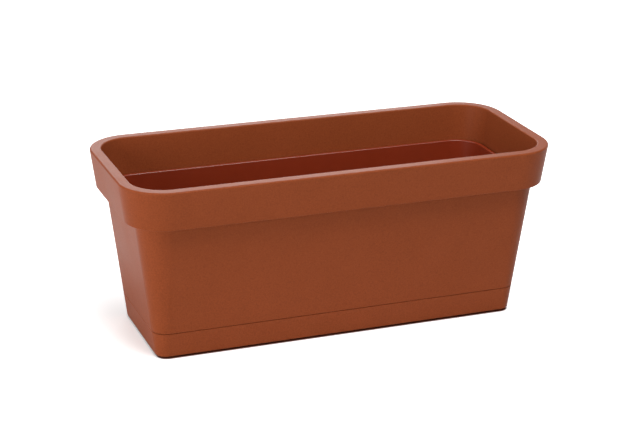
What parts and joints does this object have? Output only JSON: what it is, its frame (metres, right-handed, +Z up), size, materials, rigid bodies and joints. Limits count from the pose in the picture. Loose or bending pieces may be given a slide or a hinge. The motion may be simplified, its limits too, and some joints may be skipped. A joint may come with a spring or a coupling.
{
  "type": "window box planter",
  "caption": "Long tapered plastic flower box with a collared rim, a lift-out inner pot for the soil and a flush drip tray.",
  "frame": {"origin": "on the ground, under the middle of the box", "axes": "+X along the length of the box, the long front looks along -Y, +Z up"},
  "size_m": [0.4994, 0.2124, 0.2035],
  "materials": {
    "shell_plastic": "fine moulded texture, terracotta brown, low sheen",
    "liner_plastic": "smooth moulded, dark terracotta red"
  },
  "bodies": {
    "tray": {"drip_tray": "shell_plastic"},
    "planter": {"planter_shell": "shell_plastic"},
    "pot": {"liner": "liner_plastic"}
  },
  "joints": [
    {"name": "planter_lift", "type": "slide", "parent": "tray", "child": "planter", "axis": [0, 0, 1], "range_m": [0, 0.06]},
    {"name": "liner_lift", "type": "slide", "parent": "planter", "child": "pot", "axis": [0, 0, 1], "range_m": [0, 0.2]}
  ]
}
